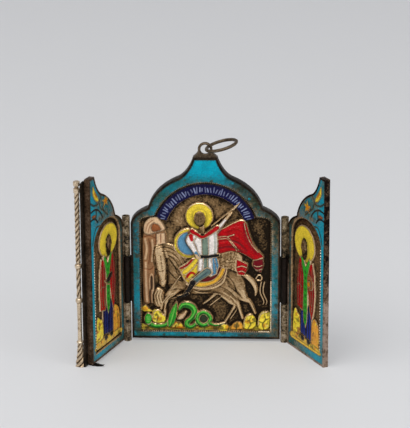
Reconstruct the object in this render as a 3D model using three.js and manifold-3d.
// A folding travel icon in silver and enamel: an arched centre panel with a mounted
// saint in relief, and two half-width wings on knuckle hinges, each with a standing saint.
// Millimetres, +Z up, the front of the centre panel faces -Y. The wings stand part open.

import * as THREE from "three";
import { mergeVertices } from "three/addons/utils/BufferGeometryUtils.js";
import Module from "manifold-3d";

const wasm = await Module();
wasm.setup();

// ---------------------------------------------------------------- driving dimensions
const PANEL_WIDTH = 36;
const PANEL_HEIGHT = 46;
const PANEL_THICKNESS = 2.6;
const PANEL_BOTTOM = 0.6; // clear of the surface, so that the catch passes under it
const HALF = PANEL_WIDTH / 2;
const TOP = PANEL_BOTTOM + PANEL_HEIGHT;

const SIDE_TOP = 29.6; // heights below are above the panel's bottom edge
const CUSP = { x: 13.8, z: 33.4 };
const NECK_FOOT = { x: 6.3, z: 41.0 };
const NECK_HALF = 2.9;

const FIELD_HALF = 15.7; // the sunk field that holds the relief
const FIELD_BOTTOM = 1.9;
const FIELD_SIDE_TOP = 28.6;
const FIELD_DEPTH = 1.2;
const ARCH_CENTRE = 26.9;
const ARCH_RADIUS = 12.9;
const SCROLL_OUTER = 12.4; // the inscription band under the arch
const SCROLL_INNER = 9.8;
const SCROLL_START = 18; // degrees above the horizontal
const SCROLL_STROKES = 25;

const AXIS_X = 19.1; // hinge axes stand at the corners of the front plane, y = 0
const KNUCKLE_RADIUS = 0.95;
const BORE_RADIUS = 0.62;
const PIN_RADIUS = 0.38;
const KNUCKLE_GAP = 0.2;
const LOWER_KNUCKLE_TOP = 9.9;
const MIDDLE_KNUCKLE_TOP = 21.8;
const UPPER_KNUCKLE_TOP = 32.1;

const WING_REACH = 18.9; // from the hinge axis to the free edge
const WING_START = 1.15;
const WING_THICKNESS = 1.3;
const WING_GAP = 0.2; // between the closed wing and the panel
const WING_FIELD = { inner: 3.0, outer: 16.9, bottom: 2.6, spring: 29.0, top: 34.3 };
const WING_FIELD_DEPTH = 0.6;
const LEFT_OPEN = 69; // degrees forward of lying flat open
const RIGHT_OPEN = 61;

const STRIP_OVERLAP = 1.0; // past the left wing's free edge
const STRIP_WIDTH = 3.0;
const STRIP_THICKNESS = 1.3;
const STRIP_CLEARANCE = 0.25; // over the right wing's outer face
const ROPE_RADIUS = 0.75;

const EYE_CENTRE = 48.5;
const EYE_RADIUS = 1.45;
const EYE_WIRE = 0.33;
const RING_RADIUS = 3.7;
const RING_WIRE = 0.4;
const RING_TILT = 15;

const SEAM = 0.05; // between soldered pieces
const ROOT = 0.25; // how far a raised form sinks into its ground

// ---------------------------------------------------------------- solids
const radians = THREE.MathUtils.degToRad;

function toSolid(geometry) {
  const bare = geometry.index ? geometry.toNonIndexed() : geometry.clone();
  for (const name of Object.keys(bare.attributes)) {
    if (name !== "position") bare.deleteAttribute(name);
  }
  const merged = mergeVertices(bare, 1e-4);
  return new wasm.Manifold(
    new wasm.Mesh({
      numProp: 3,
      vertProperties: new Float32Array(merged.attributes.position.array),
      triVerts: new Uint32Array(merged.index.array),
    }),
  );
}

function toGeometry(solid) {
  const mesh = solid.getMesh();
  const geometry = new THREE.BufferGeometry();
  geometry.setAttribute("position", new THREE.BufferAttribute(mesh.vertProperties, 3));
  geometry.setIndex(new THREE.BufferAttribute(mesh.triVerts, 1));
  geometry.computeVertexNormals();
  return geometry;
}

const joined = (solids) => solids.reduce((whole, solid) => whole.add(solid));

// A flat shape drawn in x and z, given thickness from y = front back to y = back.
function plate(shape, front, back, curveSegments = 8) {
  const options = { depth: back - front, bevelEnabled: false, curveSegments };
  const geometry = new THREE.ExtrudeGeometry(shape, options);
  geometry.rotateX(Math.PI / 2);
  geometry.translate(0, back, 0);
  return toSolid(geometry);
}

// A form raised from its ground, with a chamfered edge.
function raised(shape, ground, height, round = 0.2, curveSegments = 5) {
  const depth = height + ROOT - 2 * round;
  const geometry = new THREE.ExtrudeGeometry(shape, {
    depth,
    bevelEnabled: true,
    bevelThickness: round,
    bevelSize: round,
    bevelOffset: -round,
    bevelSegments: 1,
    curveSegments,
  });
  geometry.rotateX(Math.PI / 2);
  geometry.translate(0, ground - height + depth + round, 0);
  return toSolid(geometry);
}

function box(x0, x1, y0, y1, z0, z1) {
  const geometry = new THREE.BoxGeometry(x1 - x0, y1 - y0, z1 - z0);
  geometry.translate((x0 + x1) / 2, (y0 + y1) / 2, (z0 + z1) / 2);
  return toSolid(geometry);
}

function upright(x, y, radius, z0, z1, sides = 14) {
  const geometry = new THREE.CylinderGeometry(radius, radius, z1 - z0, sides);
  geometry.rotateX(Math.PI / 2);
  geometry.translate(x, y, (z0 + z1) / 2);
  return toSolid(geometry);
}

// A rounded mass, flattened against its ground.
function boss(x, z, halfWidth, halfHeight, ground, height, turn = 0) {
  const geometry = new THREE.SphereGeometry(1, 10, 6);
  geometry.rotateX(Math.PI / 2);
  geometry.scale(halfWidth, height, halfHeight);
  geometry.rotateY(radians(-turn));
  geometry.translate(x, ground, z);
  return toSolid(geometry);
}

// ---------------------------------------------------------------- outlines
// A closed smooth outline through a few points.
function blob(points, steps = 14) {
  const curve = new THREE.CatmullRomCurve3(
    points.map(([x, z]) => new THREE.Vector3(x, z, 0)),
    true,
  );
  const around = curve.getPoints(steps).slice(0, -1);
  return new THREE.Shape(around.map((point) => new THREE.Vector2(point.x, point.y)));
}

const corners = (points) => new THREE.Shape(points.map(([x, z]) => new THREE.Vector2(x, z)));

// A limb, tail or fold: a centre line with a width that changes evenly between its points.
function band(points, widths, steps = 2 * points.length) {
  const curve = new THREE.SplineCurve(points.map(([x, z]) => new THREE.Vector2(x, z)));
  const left = [];
  const right = [];
  for (let i = 0; i <= steps; i++) {
    const t = i / steps;
    const centre = curve.getPoint(t);
    const along = curve.getTangent(t);
    const place = t * (widths.length - 1);
    const lower = Math.min(Math.floor(place), widths.length - 2);
    const width = THREE.MathUtils.lerp(widths[lower], widths[lower + 1], place - lower);
    const side = new THREE.Vector2(-along.y, along.x).multiplyScalar(width / 2);
    left.push(centre.clone().add(side));
    right.unshift(centre.clone().sub(side));
  }
  return new THREE.Shape([...left, ...right]);
}

function disc(x, z, radius) {
  return new THREE.Shape().absarc(x, z, radius, 0, 2 * Math.PI);
}

// The right half of the arched silhouette, drawn upwards from the bottom corner, with
// x measured from the middle line and z from the bottom edge.
function climbSilhouette(shape, rise) {
  shape.lineTo(HALF, rise + SIDE_TOP);
  shape.bezierCurveTo(
    HALF - 0.3, rise + SIDE_TOP + 1.6,
    CUSP.x + 2.2, rise + CUSP.z - 0.9,
    CUSP.x, rise + CUSP.z,
  );
  shape.bezierCurveTo(
    CUSP.x - 1.2, rise + CUSP.z + 4.0,
    NECK_FOOT.x + 3.3, rise + NECK_FOOT.z - 1.4,
    NECK_FOOT.x, rise + NECK_FOOT.z,
  );
  shape.bezierCurveTo(
    NECK_FOOT.x - 1.6, rise + NECK_FOOT.z + 0.9,
    NECK_HALF + 0.5, rise + PANEL_HEIGHT - 1.9,
    NECK_HALF, rise + PANEL_HEIGHT,
  );
}

function mirrored(shape, divisions) {
  const right = shape.getPoints(divisions);
  const left = right.map((point) => new THREE.Vector2(-point.x, point.y)).reverse();
  return new THREE.Shape([...right, ...left]);
}

function panelOutline() {
  const half = new THREE.Shape();
  half.moveTo(HALF, PANEL_BOTTOM);
  climbSilhouette(half, PANEL_BOTTOM);
  return mirrored(half, 7);
}

function fieldOutline() {
  const half = new THREE.Shape();
  const archStart = 20;
  half.moveTo(FIELD_HALF, PANEL_BOTTOM + FIELD_BOTTOM);
  half.lineTo(FIELD_HALF, PANEL_BOTTOM + FIELD_SIDE_TOP);
  half.quadraticCurveTo(
    FIELD_HALF, PANEL_BOTTOM + ARCH_CENTRE + 4.0,
    ARCH_RADIUS * Math.cos(radians(archStart)),
    PANEL_BOTTOM + ARCH_CENTRE + ARCH_RADIUS * Math.sin(radians(archStart)),
  );
  half.absarc(0, PANEL_BOTTOM + ARCH_CENTRE, ARCH_RADIUS, radians(archStart), radians(88));
  return mirrored(half, 9);
}

// ---------------------------------------------------------------- the centre relief
// Each figure is a group of raised forms. Heights of relief are above the field's floor;
// places are x from the middle line and z above the panel's bottom edge.
const FLOOR = FIELD_DEPTH;
const lift = (points) => points.map(([x, z]) => [x, PANEL_BOTTOM + z]);
const form = (points, height, steps) => raised(blob(lift(points), steps), FLOOR, height);
const facet = (points, height) => raised(corners(lift(points)), FLOOR, height, 0.15);
const limb = (points, widths, height, steps) =>
  raised(band(lift(points), widths, steps), FLOOR, height, 0.15);
const mass = (x, z, halfWidth, halfHeight, height, turn) =>
  boss(x, PANEL_BOTTOM + z, halfWidth, halfHeight, FLOOR, height, turn);

function scroll() {
  const shape = new THREE.Shape();
  const middle = PANEL_BOTTOM + ARCH_CENTRE;
  const start = radians(SCROLL_START);
  const margin = 7;
  shape.absarc(0, middle, SCROLL_OUTER, start, Math.PI - start, false);
  shape.absarc(0, middle, SCROLL_INNER, Math.PI - start, start, true);
  const forms = [plate(shape, FLOOR - 0.3, FLOOR + ROOT, 16)];
  for (let i = 0; i < SCROLL_STROKES; i++) {
    const along = i / (SCROLL_STROKES - 1);
    const turn = radians(THREE.MathUtils.lerp(SCROLL_START + margin, 180 - SCROLL_START - margin, along));
    const stroke = new THREE.BoxGeometry(1.5, 0.35, 0.28);
    stroke.translate((SCROLL_OUTER + SCROLL_INNER) / 2, FLOOR - 0.3, 0);
    stroke.rotateY(-turn);
    stroke.translate(0, 0, middle);
    forms.push(toSolid(stroke));
  }
  return forms;
}

function horse() {
  const coat = 0.7;
  const neck = [
    [-12.2, 23.2], [-9, 24], [-6, 23], [-3.6, 19.5],
    [-4, 13.5], [-7, 12.4], [-9.4, 15], [-12, 20.8],
  ];
  const barrel = [
    [-5, 19.6], [0, 17.5], [6, 18.6], [8.7, 16.4], [9.8, 11.6],
    [5.6, 9.6], [2.8, 11.3], [-2, 10.9], [-6, 11.8],
  ];
  return [
    form(neck, coat, 16),
    form(barrel, coat, 18),
    limb([[-10.5, 21], [-10.4, 17.6], [-10.9, 13.3]], [3.6, 3.0, 2.6], 0.95, 4),
    mass(-10.9, 13.6, 1.6, 0.9, 1.05),
    limb([[-5.6, 13.4], [-8.2, 11.4], [-10.4, 9.6], [-10.2, 5.2]], [2.4, 1.5, 1.0, 0.7], 0.65, 6),
    mass(-11.6, 10.3, 1.4, 2.5, 0.75),
    limb([[8.2, 13], [9.4, 10.2], [10.7, 9.3], [12, 6.2]], [3.0, 1.6, 0.9, 0.6], 0.65, 6),
    limb([[4.6, 12], [7.3, 8.4], [8.9, 4.9]], [3.2, 1.3, 0.7], 0.6, 5),
    limb([[6.9, 8.6], [6.1, 6.4], [4.6, 4.2]], [1.1, 0.8, 0.6], 0.5, 4),
    limb([[8.4, 16.2], [10.6, 15], [12.1, 12.9], [12, 10.8]], [0.9, 1.3, 1.1, 0.4], 0.6, 6),
  ];
}

function saddle() {
  const rim = [
    [-6.3, 17.9], [-5.7, 16], [-4, 14], [-1.5, 13.1],
    [1, 13.2], [3.2, 14.6], [4.7, 16.4], [5.1, 18],
  ];
  const lining = [[-5.9, 17.9], [-4.4, 14.9], [-1, 13.5], [2.4, 14.3], [4.6, 17.4]];
  const hip = [[2.6, 21.9], [5, 22.4], [8.3, 21.7], [8.2, 19.4], [7.2, 17.6], [4.8, 18], [2.8, 18.2]];
  return [
    facet([...rim, [2.6, 20.5], [-1.7, 21.5]], 0.8),
    form(hip, 0.78, 12),
    limb(lining, [0.5, 0.6, 0.6, 0.6, 0.5], 0.9, 8),
  ];
}

function rider() {
  return [
    raised(disc(-3.9, PANEL_BOTTOM + 24.2, 3.75), FLOOR, 0.6, 0.2, 9),
    facet([[-3.4, 27.4], [-0.7, 26.4], [2.6, 28.4], [2.8, 21.2], [-1.6, 21], [-4.3, 24.6]], 0.85),
    limb([[-2.7, 27.2], [-4.2, 25], [-1.7, 20.9]], [1.7, 1.7, 1.0], 1.0, 5),
    limb([[2.5, 27.4], [3.8, 29.4], [5.2, 31.4]], [1.8, 1.4, 1.0], 0.95, 4),
    limb([[-2.7, 27.6], [-0.7, 26.2], [2.5, 28.6]], [1.1, 1.0, 1.1], 1.0, 4),
    facet([[-1.7, 21], [2.8, 21.2], [3.1, 18.6], [2, 16.2], [-1.6, 16.9]], 0.95),
    limb([[0.6, 17.6], [-1.4, 16], [-3.4, 14.2]], [2.0, 1.7, 1.4], 1.0, 3),
    limb([[-3.1, 14.4], [-4.2, 12.4], [-5.6, 11]], [1.4, 1.2, 0.8], 1.05, 3),
    raised(disc(-1.6, PANEL_BOTTOM + 30.6, 3.5), FLOOR, 0.35, 0.15, 8),
    mass(-1.5, 30.4, 1.5, 2.0, 0.95),
    limb([[-1, 28.6], [-0.7, 27.2]], [1.3, 1.3], 0.85, 1),
    limb([[6.6, 33.2], [-6.2, 16], [-9.7, 11]], [0.35, 0.35, 0.35], 1.08, 2),
  ];
}

function cape() {
  const upper = [
    [2.7, 27.4], [4.4, 28.5], [6.5, 29.6], [8.4, 30.3],
    [9.9, 29.4], [10.9, 26.2], [12, 23.6], [14.2, 21],
  ];
  const hem = [[11.6, 20.2], [8.6, 21.9], [6.1, 22.3], [3, 21.9]];
  return [
    facet([...upper, ...hem], 0.8),
    facet([[11.4, 20.2], [14, 20.8], [13.9, 18], [12.6, 16.9]], 0.7),
    facet([[8.2, 20.3], [10.2, 18.6], [9.8, 16.4], [7.4, 16.6]], 0.8),
    limb([[2.8, 26.1], [5.1, 26.1], [7.9, 22.5]], [0.3, 0.35, 0.35], 0.9, 4),
    limb([[8.2, 28.6], [10, 24.6], [12.6, 21.3]], [0.5, 0.6, 0.5], 0.92, 4),
  ];
}

function maiden() {
  const dress = [
    [-14.9, 27], [-12.4, 27.6], [-9.7, 27.2], [-9.6, 22], [-12, 21],
    [-12.2, 15], [-11.8, 8.6], [-15.2, 8.6], [-15, 20],
  ];
  return [
    form(dress, 0.65, 18),
    mass(-12.4, 28.6, 2.4, 2.5, 0.75),
    mass(-12.3, 28.4, 1.3, 1.4, 0.95),
    limb([[-14, 25.6], [-13.6, 21], [-13.9, 16.5]], [1.3, 1.6, 1.0], 0.85, 4),
    limb([[-13.9, 13], [-14.2, 9.4]], [0.8, 0.8], 0.8, 1),
    limb([[-12.6, 17.4], [-12.3, 13], [-12.5, 9.2]], [0.7, 0.8, 0.7], 0.8, 3),
  ];
}

function dragon() {
  return [
    mass(-14.1, 5, 1.2, 1.1, 0.95),
    limb([[-14, 4.2], [-12.6, 3.1], [-9.4, 3.5]], [1.1, 1.2, 1.1], 0.8, 5),
    limb([[-9.1, 3.3], [-8.6, 6.2], [-7.4, 8.9]], [1.3, 1.9, 0.9], 0.85, 4),
    limb(
      [[-6.4, 7.7], [-4.5, 8.2], [-3.3, 6.7], [-3.6, 4.8], [-4.3, 3.6], [-3.3, 2.9], [-1.9, 3.7]],
      [1.6, 2.0, 1.9, 1.5, 1.3, 1.3, 1.0], 0.9, 12,
    ),
    mass(-0.4, 5, 1.8, 1.7, 0.85),
    limb([[0.6, 3.8], [2.4, 3.4], [4.7, 3.9]], [0.9, 0.6, 0.3], 0.55, 3),
  ];
}

function ground() {
  const cliff = [
    [-15.6, 7.4], [-13.4, 7.6], [-11.4, 6.9], [-9.6, 5.2],
    [-10, 3.4], [-14, 2.2], [-15.5, 3.6],
  ];
  return [
    form(cliff, 0.5, 12),
    facet([[-9, 4.2], [-6.4, 4.4], [-3.6, 3.4], [-3.4, 2.1], [-8.8, 2.1]], 0.5),
    facet([[-15.6, 2.7], [15.6, 2.7], [15.6, 2.0], [-15.6, 2.0]], 0.4),
    facet([[2.3, 3.1], [5.6, 3.7], [8.6, 4.8], [8.6, 2.1], [2.6, 2.1]], 0.5),
    form([[9.2, 4.2], [10.6, 5.9], [12.1, 5.1], [12, 3], [10.4, 2.2], [9.2, 2.8]], 0.7, 10),
    form([[12.7, 4.6], [13.4, 6.6], [15.3, 6.8], [15.6, 4], [14.9, 2.2], [12.9, 2.4]], 0.7, 10),
    limb([[13.9, 14.6], [13.7, 12], [14.7, 9.2], [15.1, 7.4]], [1.1, 1.5, 1.3, 0.5], 0.45, 6),
    facet([[12.1, 15.4], [13, 16.2], [13.7, 15.4], [12.8, 14.5]], 0.5),
  ];
}

// ---------------------------------------------------------------- centre panel
function knuckle(x, z0, z1) {
  const bore = upright(x, 0, BORE_RADIUS, z0 - 1, z1 + 1, 12);
  return upright(x, 0, KNUCKLE_RADIUS, z0, z1).subtract(bore);
}

function centrePanel() {
  const body = plate(panelOutline(), 0, PANEL_THICKNESS);
  const field = plate(fieldOutline(), -1, FIELD_DEPTH);
  const figures = [scroll, horse, saddle, cape, rider, maiden, dragon, ground];
  const relief = figures.flatMap((make) => make());
  const z0 = LOWER_KNUCKLE_TOP + KNUCKLE_GAP;
  const hinges = [-1, 1].map((side) => {
    const inside = Math.min(side * (HALF - 0.5), side * (AXIS_X - BORE_RADIUS - 0.1));
    const outside = Math.max(side * (HALF - 0.5), side * (AXIS_X - BORE_RADIUS - 0.1));
    const web = box(inside, outside, 0.1, 0.85, z0, MIDDLE_KNUCKLE_TOP);
    return knuckle(side * AXIS_X, z0, MIDDLE_KNUCKLE_TOP).add(web);
  });
  const trimmed = joined(relief).intersect(plate(fieldOutline(), 0.05, FIELD_DEPTH + 2 * ROOT));
  return joined([body.subtract(field), trimmed, ...hinges]);
}

// ---------------------------------------------------------------- wings
// A wing is made lying flat open: u runs out from the hinge axis, the inner face looks
// to -y. side is -1 for the left wing, which is drawn mirrored.
function wingOutline(bottom, side) {
  const edge = new THREE.Shape();
  edge.moveTo(AXIS_X - WING_REACH, bottom);
  edge.lineTo(AXIS_X - WING_START, bottom);
  edge.lineTo(HALF, bottom);
  climbSilhouette(edge, PANEL_BOTTOM);
  edge.lineTo(AXIS_X - WING_REACH, TOP);
  const points = edge.getPoints(7).filter((point) => point.x <= AXIS_X - WING_START + 1e-6);
  return new THREE.Shape(points.map((point) => new THREE.Vector2(side * (AXIS_X - point.x), point.y)));
}

function wingFieldOutline(side) {
  const { inner, outer, bottom, spring, top } = WING_FIELD;
  const middle = (inner + outer) / 2;
  const shape = new THREE.Shape();
  shape.moveTo(side * inner, bottom);
  shape.lineTo(side * outer, bottom);
  shape.lineTo(side * outer, spring);
  const across = (outer - inner) / 2;
  for (let i = 1; i <= 10; i++) {
    const turn = (Math.PI * i) / 10;
    shape.lineTo(side * (middle + across * Math.cos(turn)), spring + (top - spring) * Math.sin(turn));
  }
  return shape;
}

// A standing saint: halo, head, cloak, stole, robe, feet and the rocks beside it. The
// longer fall of the cloak is on the viewer's right in both wings.
function standingSaint(side, ground) {
  const middle = 9.9;
  const at = (points) => points.map(([x, z]) => [side * middle + x, z]);
  const face = (points, height, round = 0.12) => raised(corners(at(points)), ground, height, round);
  const cloak = [
    [-2.6, 23.4], [2.6, 23.4], [4.2, 20], [4.6, 14], [3.7, 9.2],
    [0.6, 10], [-3.9, 11], [-4.6, 15], [-4.2, 20],
  ];
  const stole = [
    [-2.4, 24.2], [0, 22.6], [2.4, 24.2], [1.1, 21], [1.1, 12],
    [0.5, 7.2], [-0.4, 7.4], [-1.1, 12], [-1.1, 21],
  ];
  return [
    raised(disc(side * middle, 27.9, 4.6), ground, 0.2, 0.08, 8),
    boss(side * middle, 26.8, 1.6, 2.6, ground, 0.45),
    face(cloak, 0.36),
    face([[-3.2, 11.6], [3, 11.6], [2.9, 4.2], [-2.8, 4.8]], 0.3),
    face(stole, 0.44),
    boss(side * middle + 1.4, 19, 1.4, 1.7, ground, 0.5, 12),
    face([[-2.3, 4.8], [-0.4, 4.6], [-0.6, 3.6], [-2.6, 3.9]], 0.26, 0.08),
    face([[0.6, 4.6], [2.5, 4.3], [2.7, 3.3], [0.8, 3.6]], 0.26, 0.08),
    face([[-6.6, 8], [-5.2, 10.6], [-3.6, 9.6], [-3.2, 4.6], [-5, 3], [-6.6, 3.2]], 0.3),
    face([[3.4, 8.4], [4.8, 10.4], [6.5, 8.8], [6.6, 3.2], [4, 2.9], [3.2, 4.4]], 0.3),
  ];
}

function wing(side, bottom) {
  const front = WING_GAP;
  const back = WING_GAP + WING_THICKNESS;
  const floor = front + WING_FIELD_DEPTH;
  const body = plate(wingOutline(bottom, side), front, back);
  const field = plate(wingFieldOutline(side), -1, floor);
  const relief = joined(standingSaint(side, floor)).intersect(
    plate(wingFieldOutline(side), front + 0.05, floor + 1.5 * ROOT),
  );
  const knuckles = [
    [0, LOWER_KNUCKLE_TOP],
    [MIDDLE_KNUCKLE_TOP + KNUCKLE_GAP, UPPER_KNUCKLE_TOP],
  ].map(([z0, z1]) => {
    const near = side * (BORE_RADIUS + 0.1);
    const far = side * (WING_START + 0.4);
    const sides = [Math.min(near, far), Math.max(near, far)];
    const web = box(...sides, front + 0.02, 0.85, Math.max(z0, bottom), Math.min(z1, SIDE_TOP));
    return knuckle(0, z0, z1).add(web);
  });
  return joined([body.subtract(field), relief, ...knuckles]);
}

// The raised seat that the closing strip is soldered to, along the left wing's free edge.
function stripSeat() {
  const back = WING_GAP + WING_THICKNESS;
  const inner = -(WING_REACH + STRIP_OVERLAP - STRIP_WIDTH + 0.2);
  const outerFace = back + STRIP_CLEARANCE - SEAM;
  return box(-WING_REACH + 0.1, inner, back - 0.3, outerFace, PANEL_BOTTOM + 0.4, TOP - 0.6);
}

// ---------------------------------------------------------------- closing strip and catch
const STRIP_BACK = WING_GAP + WING_THICKNESS + STRIP_CLEARANCE;
const STRIP_OUTER = WING_REACH + STRIP_OVERLAP;
const ROPE_U = STRIP_OUTER - STRIP_WIDTH / 2;

function closingStrip() {
  const shape = new THREE.Shape();
  shape.moveTo(-STRIP_OUTER, 0);
  shape.lineTo(-STRIP_OUTER + STRIP_WIDTH, 0);
  shape.lineTo(-STRIP_OUTER + STRIP_WIDTH, TOP - 1.0);
  shape.quadraticCurveTo(-ROPE_U, TOP + 0.5, -STRIP_OUTER, TOP - 1.0);
  const face = STRIP_BACK + STRIP_THICKNESS;
  const bead = upright(-ROPE_U, face, ROPE_RADIUS, 0, TOP - 0.7, 10);
  const parts = [plate(shape, STRIP_BACK, face, 4), bead];
  const rib = (z, length) => {
    const geometry = new THREE.CylinderGeometry(0.42, 0.42, length, 6);
    geometry.rotateZ(radians(62));
    geometry.translate(-ROPE_U, face + ROPE_RADIUS * 0.75, z);
    return toSolid(geometry);
  };
  for (let i = 0; i < 13; i++) parts.push(rib(27.2 + i * 1.42, 1.5));
  for (let i = 0; i < 3; i++) parts.push(rib(1.6 + i * 1.42, 1.8));
  for (const z of [25.2, 16.6, 6.2]) parts.push(boss(-ROPE_U, z, 1.15, 0.8, face, ROPE_RADIUS + 0.4));
  return joined(parts);
}

// A thin curved spring under the left wing's free corner. When the wings close it slips
// under the centre panel.
function closingCatch() {
  const steps = 6;
  const reach = 5.0;
  const underside = [];
  const topside = [];
  for (let i = 0; i <= steps; i++) {
    const t = i / steps;
    const y = WING_GAP + WING_THICKNESS - 0.1 - t * reach;
    const z = 0.02 + 0.2 * (2 * t - 1) ** 2 * (t > 0.5 ? 1 : 0);
    underside.push(new THREE.Vector2(y, z));
    topside.unshift(new THREE.Vector2(y, z + 0.28 - 0.06 * t));
  }
  const geometry = new THREE.ExtrudeGeometry(new THREE.Shape([...underside, ...topside]), {
    depth: 1.5,
    bevelEnabled: false,
  });
  // drawn in y and z, so its depth is turned to lie across the wing
  geometry.rotateZ(Math.PI / 2);
  geometry.rotateY(Math.PI / 2);
  geometry.translate(-WING_REACH + 0.5, 0, 0);
  const stemFront = WING_GAP + 0.3;
  const stemBack = WING_GAP + WING_THICKNESS - 0.2;
  const stem = box(-WING_REACH + 0.7, -WING_REACH + 1.8, stemFront, stemBack, 0.1, PANEL_BOTTOM - SEAM);
  return toSolid(geometry).add(stem);
}

// ---------------------------------------------------------------- hanging eye and ring
function hangingEye() {
  const loop = new THREE.TorusGeometry(EYE_RADIUS, EYE_WIRE, 8, 18);
  loop.rotateX(Math.PI / 2);
  loop.scale(1, 1.6, 1);
  loop.translate(0, PANEL_THICKNESS / 2, EYE_CENTRE);
  const foot = corners([
    [-2.3, TOP + SEAM], [2.3, TOP + SEAM], [1.5, TOP + 0.75], [-1.5, TOP + 0.75],
  ]);
  return toSolid(loop).add(plate(foot, 0.35, PANEL_THICKNESS - 0.35));
}

function jumpRing() {
  const ring = new THREE.TorusGeometry(RING_RADIUS, RING_WIRE, 8, 26);
  ring.translate(RING_RADIUS, 0, 0);
  ring.rotateY(-radians(RING_TILT));
  ring.translate(0.3, PANEL_THICKNESS / 2, EYE_CENTRE);
  return ring;
}

// ---------------------------------------------------------------- the object
const silver = { color: 0x8f8064, roughness: 0.45, metalness: 0.7 };
const finishes = {
  center_panel: silver,
  left_wing: silver,
  right_wing: silver,
  closing_strip: { color: 0xcfc4ae, roughness: 0.35, metalness: 0.8 },
  closing_catch: { color: 0x3a332c, roughness: 0.5, metalness: 0.7 },
  left_hinge_pin: { color: 0x4a4238, roughness: 0.5, metalness: 0.7 },
  right_hinge_pin: { color: 0x4a4238, roughness: 0.5, metalness: 0.7 },
  hanging_eye: { color: 0x6a5f50, roughness: 0.4, metalness: 0.8 },
  jump_ring: { color: 0x6a5f50, roughness: 0.35, metalness: 0.8 },
};

function piece(name, geometry) {
  const mesh = new THREE.Mesh(geometry, new THREE.MeshStandardMaterial(finishes[name]));
  mesh.name = name;
  return mesh;
}

const icon = new THREE.Group();

icon.add(piece("center_panel", toGeometry(centrePanel())));
for (const [name, side] of [["left_hinge_pin", -1], ["right_hinge_pin", 1]]) {
  const pin = piece(name, toGeometry(upright(0, 0, PIN_RADIUS, 0.2, UPPER_KNUCKLE_TOP - 0.3, 10)));
  pin.position.x = side * AXIS_X;
  icon.add(pin);
}
icon.add(piece("hanging_eye", toGeometry(hangingEye())));
icon.add(piece("jump_ring", jumpRing()));

const leftWing = new THREE.Group();
leftWing.position.x = -AXIS_X;
leftWing.rotation.z = radians(LEFT_OPEN);
leftWing.add(piece("left_wing", toGeometry(wing(-1, PANEL_BOTTOM).add(stripSeat()))));
leftWing.add(piece("closing_strip", toGeometry(closingStrip())));
leftWing.add(piece("closing_catch", toGeometry(closingCatch())));
icon.add(leftWing);

const rightWing = new THREE.Group();
rightWing.position.x = AXIS_X;
rightWing.rotation.z = -radians(RIGHT_OPEN);
rightWing.add(piece("right_wing", toGeometry(wing(1, 0))));
icon.add(rightWing);

// The origin is the middle of the foot of the whole object, wings as they stand.
icon.updateMatrixWorld(true);
const extent = new THREE.Box3().setFromObject(icon, true);
const middle = extent.getCenter(new THREE.Vector3());
icon.position.set(-middle.x, -middle.y, -extent.min.z);

export default icon;
